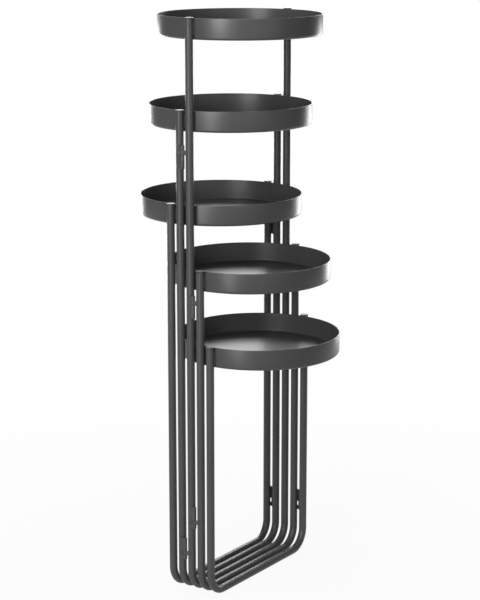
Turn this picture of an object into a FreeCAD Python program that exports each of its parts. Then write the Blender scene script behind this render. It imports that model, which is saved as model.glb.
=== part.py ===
import FreeCAD, Part
import math
import os

import Sketcher
from FreeCAD import Vector

# A folding plant stand of five tiers. Each tier is a U-shaped frame bent from one
# round tube, with a round tray welded between the tops of its two posts. The
# frames stand on their bottom rails, one behind the other, and vertical hinges
# join each frame to the next at alternating sides, so that the stand opens out
# like a screen. It is drawn folded flat.
#
# X runs along the frames, from the left posts to the right posts. Y runs across
# the stack, and the shortest frame is at the front, towards -Y. Z is up, the floor
# is Z = 0, and the origin is on the floor under the middle of the tallest frame.
# Lengths are in millimetres.

DIMENSIONS = (
    ("stand_height", 930.0, "height of the tallest frame's posts and its tray's rim"),
    ("step_1_to_2", 142.0, "from the first tray's rim down to the second's"),
    ("step_2_to_3", 148.0, "from the second tray's rim down to the third's"),
    ("step_3_to_4", 102.0, "from the third tray's rim down to the fourth's"),
    ("step_4_to_5", 120.0, "from the fourth tray's rim down to the fifth's"),
    ("tube_diameter", 12.7, "outer diameter of the frame tube"),
    ("tube_wall", 1.0, "wall of the frame tube"),
    ("bend_radius", 33.0, "radius of the frame's bottom corners, on the tube's centre line"),
    ("frame_pitch", 18.7, "distance from one frame to the next when folded"),
    ("tray_diameter", 263.0, "outer diameter of a tray"),
    ("tray_depth", 33.0, "outside height of a tray"),
    ("tray_sheet", 1.2, "thickness of a tray's sheet"),
    ("tray_corner", 4.0, "outer radius where a tray's floor meets its wall"),
    ("tray_gap", 0.1, "gap between a tray's wall and a post, bridged by the welds"),
    ("weld_radius", 1.6, "radius of a weld bead"),
    ("weld_margin", 6.0, "distance from a weld's end to the tray's underside or rim"),
    ("cap_overhang", 0.6, "how far an end cap's edge stands out past the tube"),
    ("cap_edge", 0.8, "height of an end cap's straight edge"),
    ("cap_crown", 0.8, "height of an end cap's crown above that edge"),
    ("plug_length", 10.0, "depth of an end cap's plug in the tube"),
    ("plug_clearance", 0.05, "radial clearance of the plug in the tube"),
    ("hinge_outset", 6.0, "distance of a hinge axis outside the line of the posts' centres"),
    ("pin_diameter", 4.0, "diameter of a hinge pin"),
    ("pin_clearance", 0.05, "radial running clearance of a hinge pin"),
    ("pin_head_overhang", 0.9, "how far a pin's head stands out past the pin"),
    ("pin_head_height", 1.0, "height of a pin's head"),
    ("pin_head_bevel", 0.6, "how much a pin's head narrows to its end, on the radius"),
    ("pin_end_play", 0.1, "gap between a pin's head and the knuckle beside it"),
    ("barrel_wall", 1.2, "wall of a hinge knuckle"),
    ("strap_thickness", 3.0, "thickness of the strap from a knuckle to its post"),
    ("short_knuckle", 7.0, "height of a hinge's short outer knuckle"),
    ("eye_height", 7.0, "height of a hinge's eye, between the outer knuckles"),
    ("long_knuckle", 21.4, "height of a hinge's long outer knuckle"),
    ("knuckle_gap", 0.3, "gap between an eye and the knuckle beside it"),
    ("drop_3_2", 72.0, "upper hinge of tiers 3 and 2, below the rim of tier 3"),
    ("drop_2_1", 71.0, "upper hinge of tiers 2 and 1, below the rim of tier 2"),
    ("drop_1_4", 57.0, "upper hinge of tiers 1 and 4, below the rim of tier 4"),
    ("drop_4_5", 72.0, "upper hinge of tiers 4 and 5, below the rim of tier 5"),
    ("rise_3_2", 81.0, "lower hinge of tiers 3 and 2, above the floor"),
    ("rise_2_1", 77.0, "lower hinge of tiers 2 and 1, above the floor"),
    ("rise_1_4", 133.0, "lower hinge of tiers 1 and 4, above the floor"),
    ("rise_4_5", 86.0, "lower hinge of tiers 4 and 5, above the floor"),
)

# The tiers by name, from the highest tray to the lowest, and as their frames stand
# from the back of the stack to the front.
TIERS = ("1", "2", "3", "4", "5")
STACK = ("3", "2", "1", "4", "5")

# The side of X that a hinge stands on, as its sign in expressions.
LEFT = "-1"
RIGHT = "1"

# Each hinged pair of frames, with the back one first, and the side of its hinges.
HINGES = (
    ("3", "2", RIGHT),
    ("2", "1", LEFT),
    ("1", "4", LEFT),
    ("4", "5", RIGHT),
)

# Expressions that several pieces share.
TUBE_RADIUS = "(sizes.tube_diameter / 2)"
TRAY_RADIUS = "(sizes.tray_diameter / 2)"
HALF_SPAN = f"({TRAY_RADIUS} + sizes.tray_gap + {TUBE_RADIUS})"
PIN_RADIUS = "(sizes.pin_diameter / 2)"
BORE_RADIUS = f"({PIN_RADIUS} + sizes.pin_clearance)"
BARREL_RADIUS = f"({BORE_RADIUS} + sizes.barrel_wall)"
BARREL_HEIGHT = "(sizes.short_knuckle + sizes.eye_height + sizes.long_knuckle + 2 * sizes.knuckle_gap)"

# The height of each tray's rim and its posts' tops: a step below the tray above.
RIM = {"1": "sizes.stand_height"}
for upper, lower in zip(TIERS, TIERS[1:]):
    RIM[lower] = f"{RIM[upper]} - sizes.step_{upper}_to_{lower}"

doc = FreeCAD.newDocument("plant_stand")
sheet = doc.addObject("Spreadsheet::Sheet", "sizes")
subparts = []


def fill_sheet():
    for row, (alias, value, meaning) in enumerate(DIMENSIONS, start=1):
        sheet.set(f"A{row}", meaning)
        sheet.set(f"B{row}", str(value))
        sheet.setAlias(f"B{row}", alias)
    doc.recompute()


def size(alias):
    return float(sheet.get(alias))


def half_span():
    return size("tray_diameter") / 2 + size("tray_gap") + size("tube_diameter") / 2


def rim_height(tier):
    above = TIERS[:TIERS.index(tier) + 1]
    return size("stand_height") - sum(size(f"step_{a}_to_{b}") for a, b in zip(above, above[1:]))


def pitches(tier):
    """A frame's place in the stack, in pitches behind the tallest frame."""
    return STACK.index("1") - STACK.index(tier)


def bind(thing, expressions):
    for path, expression in expressions.items():
        thing.setExpression(path, expression)


def new_body(label, expressions):
    body = doc.addObject("PartDesign::Body", label)
    body.Label = label
    body.AllowCompound = True
    bind(body, expressions)
    subparts.append(body)
    return body


def origin_plane(body, role):
    for feature in body.Origin.OriginFeatures:
        if feature.Role == role:
            return feature
    raise RuntimeError(f"{body.Label} has no {role}")


def new_sketch(body, name, role, offset=None):
    sketch = body.newObject("Sketcher::SketchObject", name)
    sketch.AttachmentSupport = (origin_plane(body, role), [""])
    sketch.MapMode = "FlatFace"
    bind(sketch, {f"AttachmentOffset.Base.{axis}": text for axis, text in (offset or {}).items()})
    return sketch


def constraint(kind, *items):
    """A sketch constraint, with its points and axes given by name."""
    numbers = []
    for item in items:
        if item in POINTS:
            numbers.append(POINTS.index(item))
        elif item in AXES:
            numbers.append(-AXES.index(item))
        else:
            numbers.append(item)
    return Sketcher.Constraint(kind, *numbers)


def dimension(sketch, name, expression, *items):
    index = sketch.addConstraint(constraint(*items))
    sketch.renameConstraint(index, name)
    sketch.setExpression(f"Constraints.{name}", expression)


def constrain(sketch, *constraints):
    for items in constraints:
        sketch.addConstraint(constraint(*items))


def line(sketch, start, end):
    return sketch.addGeometry(Part.LineSegment(Vector(*start), Vector(*end)))


def arc(sketch, centre, radius, start, end):
    circle = Part.Circle(Vector(*centre), Vector(0, 0, 1), radius)
    return sketch.addGeometry(Part.ArcOfCircle(circle, math.radians(start), math.radians(end)))


def circle(sketch, centre, radius):
    return sketch.addGeometry(Part.Circle(Vector(*centre), Vector(0, 0, 1), radius))


# The points of a line or arc and the axes of a sketch, by name. The sketcher's
# number for a point is its place in the row, and for an axis it is minus its place.
START = "start"
END = "end"
CENTRE = "centre"
HORIZONTAL_AXIS = "horizontal axis"
VERTICAL_AXIS = "vertical axis"
ORIGIN = (HORIZONTAL_AXIS, START)
POINTS = ("edge", START, END, CENTRE)
AXES = ("piece", HORIZONTAL_AXIS, VERTICAL_AXIS)


def frame_path(body, tier):
    """The tube's centre line: down the left post, along the floor, up the right post."""
    sketch = new_sketch(body, "centre_line", "XZ_Plane")
    span = half_span()
    bend = size("bend_radius")
    low = size("tube_diameter") / 2
    top = rim_height(tier)
    left_post = line(sketch, (-span, top), (-span, low + bend))
    left_bend = arc(sketch, (-span + bend, low + bend), bend, 180, 270)
    rail = line(sketch, (-span + bend, low), (span - bend, low))
    right_bend = arc(sketch, (span - bend, low + bend), bend, 270, 360)
    right_post = line(sketch, (span, low + bend), (span, top))
    constrain(
        sketch,
        ("Tangent", left_post, END, left_bend, START),
        ("Tangent", left_bend, END, rail, START),
        ("Tangent", rail, END, right_bend, START),
        ("Tangent", right_bend, END, right_post, START),
        ("Vertical", left_post),
        ("Horizontal", rail),
        ("Vertical", right_post),
        ("Symmetric", left_post, START, right_post, END, VERTICAL_AXIS),
    )
    dimension(sketch, "half_span", HALF_SPAN, "DistanceX", *ORIGIN, right_post, END, span)
    dimension(sketch, "post_top", RIM[tier], "DistanceY", *ORIGIN, right_post, END, top)
    dimension(sketch, "rail_height", TUBE_RADIUS, "DistanceY", *ORIGIN, rail, START, low)
    dimension(sketch, "left_radius", "sizes.bend_radius", "Radius", left_bend, bend)
    dimension(sketch, "right_radius", "sizes.bend_radius", "Radius", right_bend, bend)
    return sketch


def frame_section(body, tier):
    """The tube's ring section, at the top of the left post."""
    sketch = new_sketch(body, "tube_section", "XY_Plane", {"z": RIM[tier]})
    span = half_span()
    outer_diameter = size("tube_diameter")
    inner_diameter = outer_diameter - 2 * size("tube_wall")
    outer = circle(sketch, (-span, 0), outer_diameter / 2)
    inner = circle(sketch, (-span, 0), inner_diameter / 2)
    constrain(
        sketch,
        ("Coincident", outer, CENTRE, inner, CENTRE),
        ("PointOnObject", outer, CENTRE, HORIZONTAL_AXIS),
    )
    dimension(sketch, "half_span", HALF_SPAN, "DistanceX", outer, CENTRE, *ORIGIN, span)
    dimension(sketch, "outer", "sizes.tube_diameter", "Diameter", outer, outer_diameter)
    inner_size = "sizes.tube_diameter - 2 * sizes.tube_wall"
    dimension(sketch, "inner", inner_size, "Diameter", inner, inner_diameter)
    return sketch


def add_frame(tier):
    body = new_body(f"tier{tier}_frame", {"Placement.Base.y": f"{pitches(tier)} * sizes.frame_pitch"})
    path = frame_path(body, tier)
    section = frame_section(body, tier)
    tube = body.newObject("PartDesign::AdditivePipe", "tube")
    tube.Profile = section
    tube.Spine = (path, [])
    body.Tip = tube


def tray_profile(body):
    """Half of the tray's section: floor, rounded corner and upright wall."""
    sketch = new_sketch(body, "tray_section", "XZ_Plane")
    radius = size("tray_diameter") / 2
    depth = size("tray_depth")
    sheet_size = size("tray_sheet")
    corner = size("tray_corner")
    centre = (radius - corner, corner)
    underside = line(sketch, (0, 0), (radius - corner, 0))
    outer_corner = arc(sketch, centre, corner, 270, 360)
    outer_wall = line(sketch, (radius, corner), (radius, depth))
    rim = line(sketch, (radius, depth), (radius - sheet_size, depth))
    inner_wall = line(sketch, (radius - sheet_size, depth), (radius - sheet_size, corner))
    inner_corner = arc(sketch, centre, corner - sheet_size, 270, 360)
    floor = line(sketch, (radius - corner, sheet_size), (0, sheet_size))
    middle = line(sketch, (0, sheet_size), (0, 0))
    constrain(
        sketch,
        ("Tangent", underside, END, outer_corner, START),
        ("Tangent", outer_corner, END, outer_wall, START),
        ("Coincident", outer_wall, END, rim, START),
        ("Coincident", rim, END, inner_wall, START),
        ("Tangent", inner_wall, END, inner_corner, END),
        ("Tangent", inner_corner, START, floor, START),
        ("Coincident", floor, END, middle, START),
        ("Coincident", middle, END, underside, START),
        ("Coincident", inner_corner, CENTRE, outer_corner, CENTRE),
        ("Coincident", underside, START, *ORIGIN),
        ("Horizontal", underside),
        ("Vertical", outer_wall),
        ("Horizontal", rim),
        ("Vertical", inner_wall),
        ("Horizontal", floor),
        ("Vertical", middle),
    )
    dimension(sketch, "radius", TRAY_RADIUS, "DistanceX", *ORIGIN, outer_wall, END, radius)
    dimension(sketch, "depth", "sizes.tray_depth", "DistanceY", *ORIGIN, outer_wall, END, depth)
    dimension(sketch, "sheet", "sizes.tray_sheet", "DistanceX", rim, END, rim, START, sheet_size)
    dimension(sketch, "corner", "sizes.tray_corner", "Radius", outer_corner, corner)
    return sketch


def weld_sketch(body):
    """Four round beads, one on each side of each post, in the nook beside the wall.

    Half of the sheet and half of the tube's wall lie under each bead.
    """
    sketch = new_sketch(body, "weld_section", "XY_Plane", {"z": "sizes.weld_margin"})
    bead = size("weld_radius")
    from_middle = size("tray_diameter") / 2 + bead - size("tray_sheet") / 2
    from_post = size("tube_diameter") / 2 + bead - size("tube_wall") / 2
    span = half_span()
    bead_x = (from_middle**2 - from_post**2 + span**2) / (2 * span)
    bead_y = math.sqrt(from_middle**2 - bead_x**2)
    post = sketch.addGeometry(Part.Point(Vector(span, 0)), True)
    first = circle(sketch, (bead_x, bead_y), bead)
    others = [circle(sketch, corner, bead) for corner in ((bead_x, -bead_y), (-bead_x, bead_y))]
    last = circle(sketch, (-bead_x, -bead_y), bead)
    constrain(
        sketch,
        ("PointOnObject", post, START, HORIZONTAL_AXIS),
        ("Symmetric", first, CENTRE, others[0], CENTRE, HORIZONTAL_AXIS),
        ("Symmetric", first, CENTRE, others[1], CENTRE, VERTICAL_AXIS),
        ("Symmetric", first, CENTRE, last, CENTRE, *ORIGIN),
        ("Equal", first, others[0]),
        ("Equal", first, others[1]),
        ("Equal", first, last),
    )
    middle_size = f"{TRAY_RADIUS} + sizes.weld_radius - sizes.tray_sheet / 2"
    post_size = f"{TUBE_RADIUS} + sizes.weld_radius - sizes.tube_wall / 2"
    dimension(sketch, "half_span", HALF_SPAN, "DistanceX", *ORIGIN, post, START, span)
    dimension(sketch, "from_middle", middle_size, "Distance", *ORIGIN, first, CENTRE, from_middle)
    dimension(sketch, "from_post", post_size, "Distance", post, START, first, CENTRE, from_post)
    dimension(sketch, "bead", "sizes.weld_radius", "Radius", first, bead)
    return sketch


def post_sketch(body):
    """The outlines of the two posts, which trim the weld beads."""
    sketch = new_sketch(body, "post_seats", "XY_Plane")
    span = half_span()
    radius = size("tube_diameter") / 2
    right = circle(sketch, (span, 0), radius)
    left = circle(sketch, (-span, 0), radius)
    constrain(
        sketch,
        ("PointOnObject", right, CENTRE, HORIZONTAL_AXIS),
        ("Symmetric", right, CENTRE, left, CENTRE, VERTICAL_AXIS),
        ("Equal", right, left),
    )
    dimension(sketch, "half_span", HALF_SPAN, "DistanceX", *ORIGIN, right, CENTRE, span)
    dimension(sketch, "post", TUBE_RADIUS, "Radius", right, radius)
    return sketch


def add_tray(tier):
    position = {
        "Placement.Base.y": f"{pitches(tier)} * sizes.frame_pitch",
        "Placement.Base.z": f"{RIM[tier]} - sizes.tray_depth",
    }
    body = new_body(f"tier{tier}_tray", position)
    profile = tray_profile(body)
    dish = body.newObject("PartDesign::Revolution", "dish")
    dish.Profile = profile
    dish.ReferenceAxis = (profile, ["V_Axis"])
    dish.Angle = 360
    body.Tip = dish
    doc.recompute()

    beads = body.newObject("PartDesign::Pad", "weld_beads")
    beads.Profile = weld_sketch(body)
    bind(beads, {"Length": "sizes.tray_depth - 2 * sizes.weld_margin"})
    body.Tip = beads
    doc.recompute()

    seats = body.newObject("PartDesign::Pocket", "post_clearance")
    seats.Profile = post_sketch(body)
    seats.Reversed = True
    bind(seats, {"Length": "sizes.tray_depth"})
    body.Tip = seats
    doc.recompute()
    if seats.Shape.Volume >= beads.Shape.Volume:
        raise RuntimeError(f"the posts don't trim the welds of tier {tier}")


def cap_profile(body):
    """Half of an end cap: a plug in the tube under a low domed head."""
    sketch = new_sketch(body, "cap_section", "XZ_Plane", {"x": f"-{HALF_SPAN}"})
    plug = size("tube_diameter") / 2 - size("tube_wall") - size("plug_clearance")
    head = size("tube_diameter") / 2 + size("cap_overhang")
    edge = size("cap_edge")
    top = edge + size("cap_crown")
    length = size("plug_length")
    dome_radius = (head**2 + size("cap_crown") ** 2) / (2 * size("cap_crown"))
    dome_half_angle = math.degrees(math.asin(head / dome_radius))
    bottom = line(sketch, (0, -length), (plug, -length))
    plug_side = line(sketch, (plug, -length), (plug, 0))
    seat = line(sketch, (plug, 0), (head, 0))
    head_side = line(sketch, (head, 0), (head, edge))
    dome = arc(sketch, (0, top - dome_radius), dome_radius, 90 - dome_half_angle, 90)
    middle = line(sketch, (0, top), (0, -length))
    constrain(
        sketch,
        ("Coincident", bottom, END, plug_side, START),
        ("Coincident", plug_side, END, seat, START),
        ("Coincident", seat, END, head_side, START),
        ("Coincident", head_side, END, dome, START),
        ("Coincident", dome, END, middle, START),
        ("Coincident", middle, END, bottom, START),
        ("Horizontal", bottom),
        ("Vertical", plug_side),
        ("Horizontal", seat),
        ("Vertical", head_side),
        ("PointOnObject", dome, CENTRE, VERTICAL_AXIS),
        ("PointOnObject", middle, START, VERTICAL_AXIS),
        ("PointOnObject", middle, END, VERTICAL_AXIS),
        ("PointOnObject", seat, START, HORIZONTAL_AXIS),
    )
    plug_size = f"{TUBE_RADIUS} - sizes.tube_wall - sizes.plug_clearance"
    head_size = f"{TUBE_RADIUS} + sizes.cap_overhang"
    dimension(sketch, "plug", plug_size, "DistanceX", *ORIGIN, seat, START, plug)
    dimension(sketch, "head", head_size, "DistanceX", *ORIGIN, seat, END, head)
    dimension(sketch, "edge", "sizes.cap_edge", "DistanceY", *ORIGIN, head_side, END, edge)
    dimension(sketch, "crown", "sizes.cap_edge + sizes.cap_crown", "DistanceY", *ORIGIN, dome, END, top)
    dimension(sketch, "length", "sizes.plug_length", "DistanceY", bottom, START, *ORIGIN, length)
    return sketch


def add_end_caps(tier):
    position = {
        "Placement.Base.y": f"{pitches(tier)} * sizes.frame_pitch",
        "Placement.Base.z": RIM[tier],
    }
    body = new_body(f"tier{tier}_end_caps", position)
    profile = cap_profile(body)
    left_cap = body.newObject("PartDesign::Revolution", "left_cap")
    left_cap.Profile = profile
    left_cap.ReferenceAxis = (profile, ["V_Axis"])
    left_cap.Angle = 360
    body.Tip = left_cap
    doc.recompute()

    both_caps = body.newObject("PartDesign::Mirrored", "both_caps")
    both_caps.Originals = [left_cap]
    both_caps.MirrorPlane = (origin_plane(body, "YZ_Plane"), [""])
    body.Tip = both_caps


def primitive(kind, name, expressions):
    thing = doc.addObject(f"Part::{kind}", name)
    bind(thing, expressions)
    return thing


def cylinder(name, radius, height, low, x="0", y="0"):
    return primitive("Cylinder", name, {
        "Radius": radius,
        "Height": height,
        "Placement.Base.x": x,
        "Placement.Base.y": y,
        "Placement.Base.z": low,
    })


def knuckle(name, low, height, side, towards):
    """One hinge knuckle, drawn about the hinge axis, with its strap to a post.

    The strap runs along Y over the post's outer face, and the post trims it.
    """
    post_x = f"-({side}) * sizes.hinge_outset"
    post_y = f"{towards} * sizes.frame_pitch / 2"
    barrel = cylinder(f"{name}_barrel", BARREL_RADIUS, height, low)
    strap = primitive("Box", f"{name}_strap", {
        "Length": "sizes.strap_thickness",
        "Width": "sizes.frame_pitch / 2",
        "Height": height,
        "Placement.Base.x": "-sizes.strap_thickness / 2",
        "Placement.Base.y": f"{min(towards, 0)} * sizes.frame_pitch / 2",
        "Placement.Base.z": low,
    })
    solid = doc.addObject("Part::MultiFuse", f"{name}_solid")
    solid.Shapes = [barrel, strap]
    bore = cylinder(f"{name}_bore", BORE_RADIUS, height, low)
    bored = doc.addObject("Part::Cut", f"{name}_bored")
    bored.Base = solid
    bored.Tool = bore
    post = cylinder(f"{name}_post", TUBE_RADIUS, height, low, post_x, post_y)
    trimmed = doc.addObject("Part::Cut", f"{name}_trimmed")
    trimmed.Base = bored
    trimmed.Tool = post
    return trimmed


def pin(name, low):
    """A hinge pin with a tapered head at each end, drawn about the hinge axis."""
    head_radius = f"{PIN_RADIUS} + sizes.pin_head_overhang"
    end_radius = f"{head_radius} - sizes.pin_head_bevel"
    shaft_low = f"{low} - sizes.pin_end_play"
    shaft_height = f"{BARREL_HEIGHT} + 2 * sizes.pin_end_play"
    shaft = cylinder(f"{name}_shaft", PIN_RADIUS, shaft_height, shaft_low)
    foot = primitive("Cone", f"{name}_foot", {
        "Radius1": end_radius,
        "Radius2": head_radius,
        "Height": "sizes.pin_head_height",
        "Placement.Base.z": f"{shaft_low} - sizes.pin_head_height",
    })
    head = primitive("Cone", f"{name}_head", {
        "Radius1": head_radius,
        "Radius2": end_radius,
        "Height": "sizes.pin_head_height",
        "Placement.Base.z": f"{shaft_low} + {shaft_height}",
    })
    whole = doc.addObject("Part::MultiFuse", f"{name}_pin")
    whole.Shapes = [shaft, foot, head]
    return whole


def group(label, members, position):
    together = doc.addObject("Part::Compound", label)
    together.Label = label
    together.Links = members
    bind(together, position)
    subparts.append(together)


def add_hinges(back, front, side):
    """The upper and lower hinge of one pair of frames.

    The back frame carries the two outer knuckles and the pin, and the front frame
    carries the eye between them. An upper hinge has its eye near the top, and a
    lower hinge is the same turned upside down.
    """
    pair = f"{back}_{front}"
    lower = max(back, front, key=TIERS.index)
    middle = (pitches(back) + pitches(front)) / 2
    position = {
        "Placement.Base.x": f"{side} * ({HALF_SPAN} + sizes.hinge_outset)",
        "Placement.Base.y": f"{middle} * sizes.frame_pitch",
    }
    heights = {"upper": f"{RIM[lower]} - sizes.drop_{pair}", "lower": f"sizes.rise_{pair}"}
    knuckles = []
    eyes = []
    pins = []
    for level, centre in heights.items():
        name = f"hinge_{pair}_{level}"
        low = f"({centre} - {BARREL_HEIGHT} / 2)"
        order = [("long", "sizes.long_knuckle"), ("eye", "sizes.eye_height"), ("short", "sizes.short_knuckle")]
        if level == "lower":
            order.reverse()
        start = low
        for kind, height in order:
            if kind == "eye":
                eyes.append(knuckle(f"{name}_{kind}", start, height, side, -1))
            else:
                knuckles.append(knuckle(f"{name}_{kind}", start, height, side, 1))
            start = f"{start} + {height} + sizes.knuckle_gap"
        pins.append(pin(name, low))
    group(f"hinge_{pair}_knuckles", knuckles, position)
    group(f"hinge_{pair}_eyes", eyes, position)
    group(f"hinge_{pair}_pins", pins, position)


def check_document():
    for thing in doc.Objects:
        if "Invalid" in thing.State or "Error" in thing.State:
            raise RuntimeError(f"{thing.Label} failed: {thing.State}")
    for subpart in subparts:
        shape = subpart.Shape
        if shape.isNull() or not shape.isValid() or not shape.Solids:
            raise RuntimeError(f"{subpart.Label} has no valid solid")


def write_parts():
    os.makedirs("parts", exist_ok=True)
    for subpart in subparts:
        subpart.Shape.exportStep(os.path.join("parts", f"{subpart.Label}.step"))
        print(f"{subpart.Label}: {len(subpart.Shape.Solids)} solids, {subpart.Shape.Volume:.0f} mm3")


fill_sheet()
for tier in STACK:
    add_frame(tier)
    add_tray(tier)
    add_end_caps(tier)
for back, front, side in HINGES:
    add_hinges(back, front, side)
doc.recompute()
check_document()
write_parts()
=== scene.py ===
import math

import bmesh
import bpy
from mathutils import Matrix, Vector


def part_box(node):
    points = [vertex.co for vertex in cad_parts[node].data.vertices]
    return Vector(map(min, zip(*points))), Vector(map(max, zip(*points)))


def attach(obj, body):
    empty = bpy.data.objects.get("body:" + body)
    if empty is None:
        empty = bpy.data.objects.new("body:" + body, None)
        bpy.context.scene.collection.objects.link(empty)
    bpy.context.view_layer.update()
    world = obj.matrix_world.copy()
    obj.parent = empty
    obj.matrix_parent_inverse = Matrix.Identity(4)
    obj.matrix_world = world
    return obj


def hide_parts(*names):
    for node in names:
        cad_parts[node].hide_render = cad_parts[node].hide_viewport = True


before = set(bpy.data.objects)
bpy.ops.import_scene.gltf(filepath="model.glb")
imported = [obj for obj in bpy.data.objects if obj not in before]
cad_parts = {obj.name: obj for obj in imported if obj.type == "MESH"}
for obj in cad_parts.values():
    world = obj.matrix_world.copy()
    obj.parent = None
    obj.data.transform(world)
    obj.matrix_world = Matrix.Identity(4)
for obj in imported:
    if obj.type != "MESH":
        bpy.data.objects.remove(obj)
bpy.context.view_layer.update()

# The looks of a folding plant stand of five U-shaped tube frames, each with a round
# tray. Everything is in metres, in the frame of the CAD: X along the folded frames,
# the shortest frame towards -Y, Z up from the floor.

TIERS = ("1", "2", "3", "4", "5")
# Neighbours that hinges join, the frame further back first.
HINGES = (("3", "2"), ("2", "1"), ("1", "4"), ("4", "5"))

TUBE_WALL = 0.0010
BEND_RADIUS = 0.033
SHEET = 0.0012
TRAY_CORNER = 0.004

# A weld bead. Each ripple rises from a valley, both as shares of the bead's radius.
WELD_RADIUS = 0.0016
WELD_MARGIN = 0.006
WELD_RIPPLE = 0.0013
RIPPLE_ROWS = 4
RIPPLE_VALLEY = 0.93
RIPPLE_RISE = 0.07

# An end cap: a tapered plug in the tube, under a head with a low crown.
PLUG_CLEARANCE = 0.00005
PLUG_TAPER = 0.0006
PLUG_TAPER_HEIGHT = 0.0008
CAP_INSET = 0.0001
CAP_LOWER_ROUND = 0.00045
CAP_UPPER_ROUND = 0.0005
CAP_SHOULDER = 0.0007
CAP_SHOULDER_END = 62
CROWN_STEPS = 12

# A hinge, seen along its axis and from its lower end.
PIN_RADIUS = 0.002
BORE_RADIUS = 0.00205
BARREL_RADIUS = 0.00325
STRAP_HALF = 0.0015
STRAP_FILLET = 0.0008
STRAP_CORNER = 0.0006
STRAP_SINK = 0.00015
EDGE_ROUND = 0.0003
BORE_EDGE_SHARE = 0.6
SHORT_KNUCKLE = 0.007
EYE_HEIGHT = 0.007
LONG_KNUCKLE = 0.0214
KNUCKLE_GAP = 0.0003
HEAD_HEIGHT = 0.001
HEAD_RADIUS = 0.0029
HEAD_ROUND = 0.0002
HEAD_END_RADIUS = 0.0023
HEAD_END_ROUND = 0.0004
ROUND_STEPS = 5
# The two beads on a strap: in X from the hinge axis, in Y from the post's middle.
HINGE_WELD = 0.001
STRAP_WELDS = ((0.0004, 0.0003), (-STRAP_HALF - 0.0004, -0.0049))


# ---------------------------------------------------------------- mesh helpers

def new_piece(name, bm, body, material, slot_name, *nodes):
    """A finished mesh that rides on a body and may stand for CAD nodes."""
    mesh = bpy.data.meshes.new(name)
    bm.to_mesh(mesh)
    bm.free()
    mesh.materials.append(material)
    piece = bpy.data.objects.new(name, mesh)
    bpy.context.scene.collection.objects.link(piece)
    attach(piece, body)
    if nodes:
        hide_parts(*nodes)


def smooth(bm, sharp_degrees=40):
    """Smooth faces, with sharp edges where the surface turns by more than that."""
    bmesh.ops.recalc_face_normals(bm, faces=bm.faces)
    limit = math.radians(sharp_degrees)
    for face in bm.faces:
        face.smooth = True
    for edge in bm.edges:
        edge.smooth = len(edge.link_faces) == 2 and edge.calc_face_angle(0) < limit


def arc_points(centre, radius, start, end, steps):
    """Points on an arc in a plane, from one angle to another, in degrees."""
    points = []
    for i in range(steps + 1):
        angle = math.radians(start + (end - start) * i / steps)
        x = centre[0] + radius * math.cos(angle)
        y = centre[1] + radius * math.sin(angle)
        points.append((x, y))
    return points


def rounded(corners):
    """An outline through corners, each (x, y, radius), with its corners rounded."""
    points = []
    count = len(corners)
    for i, (x, y, radius) in enumerate(corners):
        if radius <= 0:
            points.append((x, y))
            continue
        here = Vector((x, y))
        before = (Vector(corners[i - 1][:2]) - here).normalized()
        after = (Vector(corners[(i + 1) % count][:2]) - here).normalized()
        half = before.angle(after) / 2
        reach = radius / math.tan(half)
        centre = here + (before + after).normalized() * (radius / math.sin(half))
        first = here + before * reach - centre
        last = here + after * reach - centre
        turn = first.angle_signed(last)
        for k in range(ROUND_STEPS + 1):
            angle = -turn * k / ROUND_STEPS
            points.append(tuple(centre + Matrix.Rotation(angle, 2) @ first))
    return points


def bridge(bm, ring_a, ring_b):
    """Joins two rings of equally many points with one row of faces."""
    count = len(ring_a)
    for k in range(count):
        j = (k + 1) % count
        bm.faces.new((ring_a[k], ring_a[j], ring_b[j], ring_b[k]))


def lathe(bm, outline, x, y, z, segments):
    """A closed outline of (radius, height) turned about a vertical axis.

    An outline point with no radius becomes one point on the axis.
    """
    rings = []
    for radius, height in outline:
        if radius < 1e-7:
            rings.append([bm.verts.new((x, y, z + height))])
            continue
        ring = []
        for k in range(segments):
            angle = 2 * math.pi * k / segments
            ring_x = x + radius * math.cos(angle)
            ring_y = y + radius * math.sin(angle)
            ring.append(bm.verts.new((ring_x, ring_y, z + height)))
        rings.append(ring)
    for i, low in enumerate(rings):
        high = rings[(i + 1) % len(rings)]
        if len(low) == 1 and len(high) == 1:
            continue
        if len(low) == len(high):
            bridge(bm, low, high)
            continue
        for k in range(segments):
            j = (k + 1) % segments
            if len(low) == 1:
                bm.faces.new((low[0], high[j], high[k]))
            else:
                bm.faces.new((low[k], low[j], high[0]))


def sweep(bm, path, radius, segments):
    """A round wall along a path in an X-Z plane, and its rings of points."""
    rings = []
    side = Vector((0, 1, 0))
    for i, point in enumerate(path):
        before = path[max(i - 1, 0)]
        after = path[min(i + 1, len(path) - 1)]
        along = (Vector(after) - Vector(before)).normalized()
        up = side.cross(along)
        ring = []
        for k in range(segments):
            angle = 2 * math.pi * k / segments
            offset = side * (radius * math.cos(angle)) + up * (radius * math.sin(angle))
            ring.append(bm.verts.new(Vector(point) + offset))
        rings.append(ring)
    for low, high in zip(rings, rings[1:]):
        bridge(bm, low, high)
    return rings


# ------------------------------------------------------------------- materials

def empty_tree(owner):
    """The node tree of a material or a world, with nothing in it."""
    owner.use_nodes = True
    owner.node_tree.nodes.clear()
    return owner.node_tree


def noise(tree, place, scale, detail, rough=0.5):
    node = tree.nodes.new("ShaderNodeTexNoise")
    node.inputs["Scale"].default_value = scale
    node.inputs["Detail"].default_value = detail
    node.inputs["Roughness"].default_value = rough
    tree.links.new(place, node.inputs["Vector"])
    return node.outputs["Fac"]


def mapped(tree, value, source, target, interpolation="LINEAR"):
    """The value mapped from one range to another, and held at the ends."""
    node = tree.nodes.new("ShaderNodeMapRange")
    node.interpolation_type = interpolation
    node.inputs["From Min"].default_value = source[0]
    node.inputs["From Max"].default_value = source[1]
    node.inputs["To Min"].default_value = target[0]
    node.inputs["To Max"].default_value = target[1]
    tree.links.new(value, node.inputs["Value"])
    return node.outputs["Result"]


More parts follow.
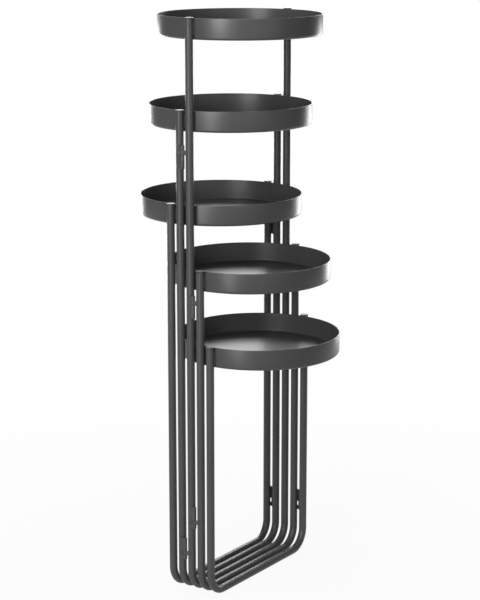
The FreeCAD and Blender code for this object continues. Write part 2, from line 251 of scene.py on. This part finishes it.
def combine(tree, operation, *values):
    """A math node's result over numbers and sockets."""
    node = tree.nodes.new("ShaderNodeMath")
    node.operation = operation
    for socket, value in zip(node.inputs, values):
        if isinstance(value, (int, float)):
            socket.default_value = value
        else:
            tree.links.new(value, socket)
    return node.outputs[0]


def mixed(tree, share, first, second):
    node = tree.nodes.new("ShaderNodeMix")
    node.data_type = "RGBA"
    node.inputs["A"].default_value = (*first, 1)
    node.inputs["B"].default_value = (*second, 1)
    tree.links.new(share, node.inputs["Factor"])
    return node.outputs["Result"]


def bump(tree, height, strength, distance):
    node = tree.nodes.new("ShaderNodeBump")
    node.inputs["Strength"].default_value = strength
    node.inputs["Distance"].default_value = distance
    tree.links.new(height, node.inputs["Height"])
    return node


# The range that nearly all of a noise lies in, and how far a coat's roughness varies.
NOISE_RANGE = (0.3, 0.7)
ROUGH_SPREAD = 0.03


def coat(name, dark, light, rough, grain, grain_depth, peel):
    """A satin coat: a fine grain, a slow unevenness and an orange-peel skin."""
    material = bpy.data.materials.new(name)
    tree = empty_tree(material)
    output = tree.nodes.new("ShaderNodeOutputMaterial")
    shader = tree.nodes.new("ShaderNodeBsdfPrincipled")
    shader.inputs["Metallic"].default_value = 0
    shader.inputs["IOR"].default_value = 1.5
    tree.links.new(shader.outputs["BSDF"], output.inputs["Surface"])

    place = tree.nodes.new("ShaderNodeTexCoord").outputs["Object"]
    slow = noise(tree, place, scale=9, detail=3)
    fine = noise(tree, place, scale=grain, detail=2, rough=0.6)
    half = combine(tree, "MULTIPLY", fine, 0.5)
    together = combine(tree, "MULTIPLY_ADD", slow, 0.5, half)
    colour = mixed(tree, mapped(tree, together, NOISE_RANGE, (0, 1)), dark, light)
    tree.links.new(colour, shader.inputs["Base Color"])
    around = (rough - ROUGH_SPREAD, rough + ROUGH_SPREAD)
    tree.links.new(mapped(tree, slow, NOISE_RANGE, around), shader.inputs["Roughness"])

    skin = tree.nodes.new("ShaderNodeTexVoronoi")
    skin.feature = "SMOOTH_F1"
    skin.inputs["Scale"].default_value = peel
    tree.links.new(place, skin.inputs["Vector"])
    dimples = bump(tree, skin.outputs["Distance"], strength=0.25, distance=0.00005)
    grit = bump(tree, fine, strength=0.3, distance=grain_depth)
    tree.links.new(dimples.outputs["Normal"], grit.inputs["Normal"])
    tree.links.new(grit.outputs["Normal"], shader.inputs["Normal"])
    return material


POWDER_COAT = coat(
    "powder_coat", dark=(0.046, 0.046, 0.0475), light=(0.059, 0.059, 0.0605),
    rough=0.34, grain=2600, grain_depth=0.00002, peel=700,
)
CAP_PLASTIC = coat(
    "cap_plastic", dark=(0.022, 0.022, 0.023), light=(0.032, 0.032, 0.033),
    rough=0.4, grain=1400, grain_depth=0.00001, peel=500,
)
PIN_PAINT = coat(
    "pin_paint", dark=(0.026, 0.026, 0.027), light=(0.045, 0.045, 0.046),
    rough=0.33, grain=3200, grain_depth=0.00002, peel=900,
)


# ----------------------------------------------------------------------- tubes

def measure_frame(tier):
    """A frame's tube radius, its middle in Y, its posts' place in X and its top."""
    low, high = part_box(f"tier{tier}_frame")
    radius = (high.y - low.y) / 2
    return radius, (high.y + low.y) / 2, high.x - radius, high.z


def frame_line(span, top, low):
    """The tube's centre line, closely set where it bends."""
    bend = BEND_RADIUS
    points = [(-span, top)]
    points += arc_points((-span + bend, low + bend), bend, 180, 270, steps=32)
    points += arc_points((span - bend, low + bend), bend, 270, 360, steps=32)
    points.append((span, top))
    return points


def add_frame(tier):
    node = f"tier{tier}_frame"
    radius, middle, span, top = measure_frame(tier)
    path = [(x, middle, z) for x, z in frame_line(span, top, radius)]
    bm = bmesh.new()
    outer = sweep(bm, path, radius, segments=64)
    inner = sweep(bm, path, radius - TUBE_WALL, segments=64)
    for end in (0, -1):
        bridge(bm, outer[end], inner[end])
    smooth(bm)
    new_piece(f"tier{tier}_tube", bm, f"tier{tier}", POWDER_COAT, "powder_coat", node)


# ----------------------------------------------------------------------- trays

def tray_outline(radius, depth):
    """Half of the tray's section, with a soft rim and a drawn inside corner."""
    corner = TRAY_CORNER
    centre = (radius - corner, corner)
    rim = (radius - SHEET / 2, depth - SHEET / 2)
    points = [(0, 0)]
    points += arc_points(centre, corner, 270, 360, steps=10)
    points += arc_points(rim, SHEET / 2, 0, 180, steps=10)
    points += arc_points(centre, corner - SHEET, 360, 270, steps=8)
    points.append((0, SHEET))
    return points


def weld_bead(bm, x, y, low, high, radius):
    """An upright bead with rounded ends and the ripples that a weld sets in."""
    rows = int((high - low) / (WELD_RIPPLE / RIPPLE_ROWS))
    outline = [(0, low)]
    for i in range(1, rows):
        z = low + (high - low) * i / rows
        end = min(z - low, high - z)
        swell = math.sqrt(max(0.0, 1 - max(0.0, 1 - end / radius) ** 2))
        phase = (z - low) / WELD_RIPPLE % 1
        ripple = RIPPLE_VALLEY + RIPPLE_RISE * math.sqrt(phase)
        outline.append((radius * swell * ripple, z))
    outline.append((0, high))
    lathe(bm, outline, x, y, 0, segments=20)


def add_tray(tier):
    """A tray, and the four beads in the nooks between its wall and the posts."""
    node = f"tier{tier}_tray"
    low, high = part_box(node)
    radius = (high.y - low.y) / 2
    middle = (high.y + low.y) / 2
    bm = bmesh.new()
    outline = tray_outline(radius, high.z - low.z)
    lathe(bm, outline, 0, middle, low.z, segments=256)
    smooth(bm)
    new_piece(f"tier{tier}_dish", bm, f"tier{tier}", POWDER_COAT, "powder_coat", node)

    post, _, span, _ = measure_frame(tier)
    from_middle = radius + WELD_RADIUS - SHEET / 2
    from_post = post + WELD_RADIUS - TUBE_WALL / 2
    bead_x = (from_middle**2 - from_post**2 + span**2) / (2 * span)
    bead_y = math.sqrt(from_middle**2 - bead_x**2)
    bottom, top = low.z + WELD_MARGIN, high.z - WELD_MARGIN
    bm = bmesh.new()
    for side_x in (-1, 1):
        for side_y in (-1, 1):
            x, y = side_x * bead_x, middle + side_y * bead_y
            weld_bead(bm, x, y, bottom, top, WELD_RADIUS)
    smooth(bm, sharp_degrees=60)
    new_piece(f"tier{tier}_welds", bm, f"tier{tier}", POWDER_COAT, "powder_coat")


# ------------------------------------------------------------------------ caps

def cap_outline(post, head, seat, top):
    """Half of a cap's section, from the plug's lower end to the crown's middle."""
    plug = post - TUBE_WALL - PLUG_CLEARANCE
    lower, upper = CAP_LOWER_ROUND, CAP_UPPER_ROUND
    shoulder = (head - upper, seat + CAP_SHOULDER)
    points = [(0, 0), (plug - PLUG_TAPER, 0), (plug, PLUG_TAPER_HEIGHT)]
    points += [(plug, seat), (head - CAP_INSET, seat)]
    points += arc_points((head - lower, seat + lower), lower, -60, 0, steps=4)
    points += arc_points(shoulder, upper, 0, CAP_SHOULDER_END, steps=5)
    crown_radius, crown_start = points[-1]
    for i in range(1, CROWN_STEPS + 1):
        share = i / CROWN_STEPS
        rise = (top - crown_start) * (1 - (1 - share) ** 2)
        points.append((crown_radius * (1 - share), crown_start + rise))
    return points


def add_caps(tier):
    node = f"tier{tier}_end_caps"
    low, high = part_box(node)
    post, _, span, post_top = measure_frame(tier)
    middle = (high.y + low.y) / 2
    head = (high.y - low.y) / 2
    outline = cap_outline(post, head, post_top - low.z, high.z - low.z)
    bm = bmesh.new()
    for side in (-1, 1):
        lathe(bm, outline, side * span, middle, low.z, segments=64)
    smooth(bm)
    new_piece(f"tier{tier}_caps", bm, f"tier{tier}", CAP_PLASTIC, "caps", node)


# ---------------------------------------------------------------------- hinges

def knuckle_outline(post_x, post_y, post_radius):
    """A barrel with its strap, about the hinge axis, for a post at -X and +Y of it."""
    reach = BARREL_RADIUS + STRAP_FILLET
    fillet_x = STRAP_HALF + STRAP_FILLET
    fillet_y = math.sqrt(reach**2 - fillet_x**2)
    leave = math.degrees(math.atan2(fillet_y, fillet_x))
    seat = post_radius - STRAP_SINK
    seat_end = math.degrees(math.acos((-STRAP_HALF - post_x) / seat))
    corner = (STRAP_HALF - STRAP_CORNER, post_y - STRAP_CORNER)
    points = arc_points((fillet_x, fillet_y), STRAP_FILLET, 180 + leave, 180, steps=4)
    points += arc_points(corner, STRAP_CORNER, 0, 90, steps=5)
    points += arc_points((post_x, post_y), seat, 0, -seat_end, steps=9)
    points += arc_points((-fillet_x, fillet_y), STRAP_FILLET, 0, -leave, steps=4)
    barrel = arc_points((0, 0), BARREL_RADIUS, 180 - leave, 360 + leave, steps=44)
    return points + barrel[1:-1]


def inset(points, distance):
    """An outline moved inwards, at the left of its direction of travel."""
    moved = []
    count = len(points)
    for i, point in enumerate(points):
        here = Vector(point)
        before = (here - Vector(points[i - 1])).normalized()
        after = (Vector(points[(i + 1) % count]) - here).normalized()
        normal = Vector((-before.y - after.y, before.x + after.x)).normalized()
        across = max(0.5, normal.dot(Vector((-before.y, before.x))))
        moved.append(tuple(here + normal * (distance / across)))
    return moved


def ring_at(bm, points, place, z):
    return [bm.verts.new((place[0] + x, place[1] + y, z)) for x, y in points]


def knuckle(bm, outline, place, mirror, low, high):
    """One knuckle with rounded edges, bored through, standing on the hinge axis.

    place is the axis, and mirror the signs that turn the outline to its post.
    """
    turn = 1 if mirror[0] * mirror[1] > 0 else -1
    bore = arc_points((0, 0), BORE_RADIUS, 0, 360, steps=36)[:-1]
    levels = []
    for angle in (0, 30, 60, 90):
        rise = EDGE_ROUND * (1 - math.cos(math.radians(angle)))
        depth = EDGE_ROUND * (1 - math.sin(math.radians(angle)))
        levels.append((low + rise, depth))
    levels += [(low + high - z, depth) for z, depth in reversed(levels)]
    walls = []
    for points, inwards in ((outline, 1), (bore, -BORE_EDGE_SHARE)):
        rings = []
        for z, depth in levels:
            moved = inset(points, depth * inwards)
            moved = [(x * mirror[0], y * mirror[1]) for x, y in moved][::turn]
            rings.append(ring_at(bm, moved, place, z))
        for below, above in zip(rings, rings[1:]):
            bridge(bm, below, above)
        walls.append(rings)
    for level in (0, -1):
        edges = []
        for rings in walls:
            ring = rings[level]
            edges += [bm.edges.get((ring[i - 1], ring[i])) for i in range(len(ring))]
        bmesh.ops.triangle_fill(bm, edges=edges, use_beauty=True, normal=(0, 0, 1))


def pin_outline(height):
    """Half of a pin's section, with a rounded and tapered head at each end."""
    low, high = HEAD_HEIGHT, height - HEAD_HEIGHT
    return rounded([
        (0, 0, 0),
        (HEAD_END_RADIUS, 0, HEAD_END_ROUND),
        (HEAD_RADIUS, low, HEAD_ROUND),
        (PIN_RADIUS, low, 0),
        (PIN_RADIUS, high, 0),
        (HEAD_RADIUS, high, HEAD_ROUND),
        (HEAD_END_RADIUS, height, HEAD_END_ROUND),
        (0, height, 0),
    ])


def add_hinges(back, front):
    """Both hinges of a pair: knuckles and pin on the back frame, eye on the front."""
    pair = f"hinge_{back}_{front}"
    low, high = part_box(f"{pair}_knuckles")
    pin_low, pin_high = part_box(f"{pair}_pins")
    place = ((pin_low.x + pin_high.x) / 2, (pin_low.y + pin_high.y) / 2)
    side = math.copysign(1, place[0])
    post, middle, span, _ = measure_frame(back)
    post_y = middle - place[1]
    outline = knuckle_outline(span - abs(place[0]), post_y, post)

    tall = SHORT_KNUCKLE + EYE_HEIGHT + LONG_KNUCKLE + 2 * KNUCKLE_GAP
    order = (("knuckles", LONG_KNUCKLE), ("eyes", EYE_HEIGHT), ("knuckles", SHORT_KNUCKLE))
    pin_start = pin_low.z - low.z
    pin = pin_outline(tall - 2 * pin_start)
    made = {"knuckles": bmesh.new(), "eyes": bmesh.new(), "pins": bmesh.new()}
    # The lower hinge of a pair stands on its short knuckle, the upper on its long one.
    for start, parts in ((low.z, order[::-1]), (high.z - tall, order)):
        z = start
        for kind, height in parts:
            mirror = (side, -1 if kind == "eyes" else 1)
            knuckle(made[kind], outline, place, mirror, z, z + height)
            bottom, top = z + HINGE_WELD / 2, z + height - HINGE_WELD / 2
            for weld_x, weld_y in STRAP_WELDS:
                x = place[0] + mirror[0] * weld_x
                y = place[1] + mirror[1] * (post_y + weld_y)
                weld_bead(made[kind], x, y, bottom, top, HINGE_WELD)
            z += height + KNUCKLE_GAP
        lathe(made["pins"], pin, *place, start + pin_start, segments=40)
    for kind, bm in made.items():
        smooth(bm)
        tier = front if kind == "eyes" else back
        look = (PIN_PAINT, "pins") if kind == "pins" else (POWDER_COAT, "powder_coat")
        new_piece(f"{pair}_{kind}_made", bm, f"tier{tier}", *look, f"{pair}_{kind}")


for tier in TIERS:
    add_frame(tier)
    add_tray(tier)
    add_caps(tier)
for back, front in HINGES:
    add_hinges(back, front)


# ------------------------------------------------------- camera, stage and light

# Directions over the floor: away from the photograph's camera, and to its right.
AWAY = (0.825, 0.565, 0.0)
RIGHTWARD = (0.565, -0.825, 0.0)

# The camera's heading, counted from +Y towards +X, and how far it looks down.
CAMERA_PLACE = (-2.3856, -1.6339, 1.1208)
CAMERA_TURN = 55.59
CAMERA_FALL = 12.78
CAMERA_LENS = 108.6

# The studio's grey walls, which only reflections see. Each is a direction, how far a
# ray points along it at both ends of a change, and the wall's levels there.
WALLS = (
    (RIGHTWARD, (0.0, 0.8), (1, 0.2)),
    (RIGHTWARD, (-0.85, -0.25), (0.15, 1)),
    (AWAY, (-0.7, 0.1), (0.35, 1)),
)
AMBIENT = 0.18

# Plain white takes over from the floor's paint with the distance from the stand, and
# reflections see the floor grey in front of the stand.
WHITE_REACH, WHITE_SHARES = (0.3, 1.4), (0.93, 1.0)
MIRROR_REACH, MIRROR_LEVELS = (-0.7, 0.5), (0.15, 1)

LAMPS_CENTRE = Vector((0, 0, 0.5))


def add_camera():
    data = bpy.data.cameras.new("camera")
    data.sensor_width = 36
    data.lens = CAMERA_LENS
    data.clip_end = 100
    camera = bpy.data.objects.new("camera", data)
    turn, fall = math.radians(CAMERA_TURN), math.radians(CAMERA_FALL)
    level = math.cos(fall)
    forward = Vector((math.sin(turn) * level, math.cos(turn) * level, -math.sin(fall)))
    camera.location = CAMERA_PLACE
    camera.rotation_mode = "QUATERNION"
    camera.rotation_quaternion = forward.to_track_quat("-Z", "Y")
    bpy.context.scene.collection.objects.link(camera)
    bpy.context.scene.camera = camera


def along(tree, place, direction):
    """How far a place or a ray points along a direction."""
    node = tree.nodes.new("ShaderNodeVectorMath")
    node.operation = "DOT_PRODUCT"
    node.inputs[1].default_value = direction
    tree.links.new(place, node.inputs[0])
    return node.outputs["Value"]


def seen_plainly(tree, path):
    """One for rays of the camera, straight or through something, and else zero."""
    camera, through = path.outputs["Is Camera Ray"], path.outputs["Is Transmission Ray"]
    return combine(tree, "MAXIMUM", camera, through)


def add_world():
    """White to the camera. Reflections see grey studio walls at the sides and in front."""
    world = bpy.data.worlds.new("studio")
    tree = empty_tree(world)
    output = tree.nodes.new("ShaderNodeOutputWorld")
    background = tree.nodes.new("ShaderNodeBackground")
    background.inputs["Color"].default_value = (1, 1, 1, 1)
    ray = tree.nodes.new("ShaderNodeTexCoord").outputs["Generated"]
    walls = 1
    for direction, reach, levels in WALLS:
        level = mapped(tree, along(tree, ray, direction), reach, levels, "SMOOTHSTEP")
        walls = combine(tree, "MULTIPLY", walls, level)
    path = tree.nodes.new("ShaderNodeLightPath")
    mirrored = combine(tree, "MULTIPLY", walls, path.outputs["Is Glossy Ray"])
    shown = combine(tree, "MAXIMUM", mirrored, seen_plainly(tree, path))
    diffuse = combine(tree, "MULTIPLY", path.outputs["Is Diffuse Ray"], AMBIENT)
    strength = combine(tree, "MAXIMUM", shown, diffuse)
    tree.links.new(strength, background.inputs["Strength"])
    tree.links.new(background.outputs["Background"], output.inputs["Surface"])
    bpy.context.scene.world = world


def floor_material():
    material = bpy.data.materials.new("floor_white")
    tree = empty_tree(material)
    output = tree.nodes.new("ShaderNodeOutputMaterial")
    paint = tree.nodes.new("ShaderNodeBsdfDiffuse")
    paint.inputs["Color"].default_value = (0.6, 0.6, 0.6, 1)
    glow = tree.nodes.new("ShaderNodeEmission")
    place = tree.nodes.new("ShaderNodeTexCoord").outputs["Object"]
    distance = tree.nodes.new("ShaderNodeVectorMath")
    distance.operation = "LENGTH"
    tree.links.new(place, distance.inputs[0])
    white = mapped(tree, distance.outputs["Value"], WHITE_REACH, WHITE_SHARES)
    path = tree.nodes.new("ShaderNodeLightPath")
    glossy, plain = path.outputs["Is Glossy Ray"], seen_plainly(tree, path)
    mirrored = mapped(tree, along(tree, place, AWAY), MIRROR_REACH, MIRROR_LEVELS)
    mirrored = combine(tree, "MULTIPLY", mirrored, glossy)
    seen = combine(tree, "MAXIMUM", plain, glossy)
    share = combine(tree, "MULTIPLY", white, seen)
    tree.links.new(combine(tree, "MAXIMUM", plain, mirrored), glow.inputs["Strength"])
    mix = tree.nodes.new("ShaderNodeMixShader")
    tree.links.new(share, mix.inputs["Fac"])
    tree.links.new(paint.outputs["BSDF"], mix.inputs[1])
    tree.links.new(glow.outputs["Emission"], mix.inputs[2])
    tree.links.new(mix.outputs["Shader"], output.inputs["Surface"])
    return material


def add_floor():
    bm = bmesh.new()
    bmesh.ops.create_circle(bm, cap_ends=True, radius=3.0, segments=96)
    mesh = bpy.data.meshes.new("floor")
    bm.to_mesh(mesh)
    bm.free()
    mesh.materials.append(floor_material())
    floor = bpy.data.objects.new("floor", mesh)
    bpy.context.scene.collection.objects.link(floor)


def add_softbox(name, azimuth, elevation, distance, width, height, watts, glossy=True):
    """An area lamp, placed by its direction from the lamps' centre.

    Azimuth is counted from the camera's side, to the left as the camera sees it.
    A lamp that isn't glossy gives soft light with no reflection of its own.
    """
    data = bpy.data.lights.new(name, "AREA")
    data.shape = "RECTANGLE"
    data.size = width
    data.size_y = height
    data.energy = watts
    lamp = bpy.data.objects.new(name, data)
    turn = math.radians(azimuth)
    direction = Matrix.Rotation(-turn, 3, "Z") @ -Vector(AWAY).normalized()
    rise = math.radians(elevation)
    offset = direction * math.cos(rise) + Vector((0, 0, math.sin(rise)))
    lamp.location = LAMPS_CENTRE + offset * distance
    lamp.rotation_mode = "QUATERNION"
    lamp.rotation_quaternion = (-offset).to_track_quat("-Z", "Y")
    lamp.visible_camera = False
    lamp.visible_glossy = glossy
    bpy.context.scene.collection.objects.link(lamp)


add_camera()
add_world()
add_floor()
add_softbox("key", 28, 18, 3.2, 0.84, 2.0, 26)
add_softbox("key_low", 27, -7, 1.9, 0.35, 0.5, 3)
add_softbox("front", 26, 12, 4.2, 1.6, 0.97, 32)
add_softbox("low_fill", 22, 11, 4.2, 3.4, 0.8, 75, glossy=False)
add_softbox("high_fill", 10, 40, 2.2, 1.4, 0.5, 4)
add_softbox("fill", -32, 10, 2.2, 1.6, 0.4, 2.5)
add_softbox("overhead", 40, 76, 1.8, 1.1, 0.8, 14)
add_softbox("overhead_back", -168, 24, 2.2, 2.1, 0.8, 26)
add_softbox("rim_right", -145, -4, 2.2, 0.7, 0.8, 13)
add_softbox("rim_left", 157, -4, 2.2, 0.8, 0.8, 17)

bpy.context.scene.view_settings.view_transform = "Standard"
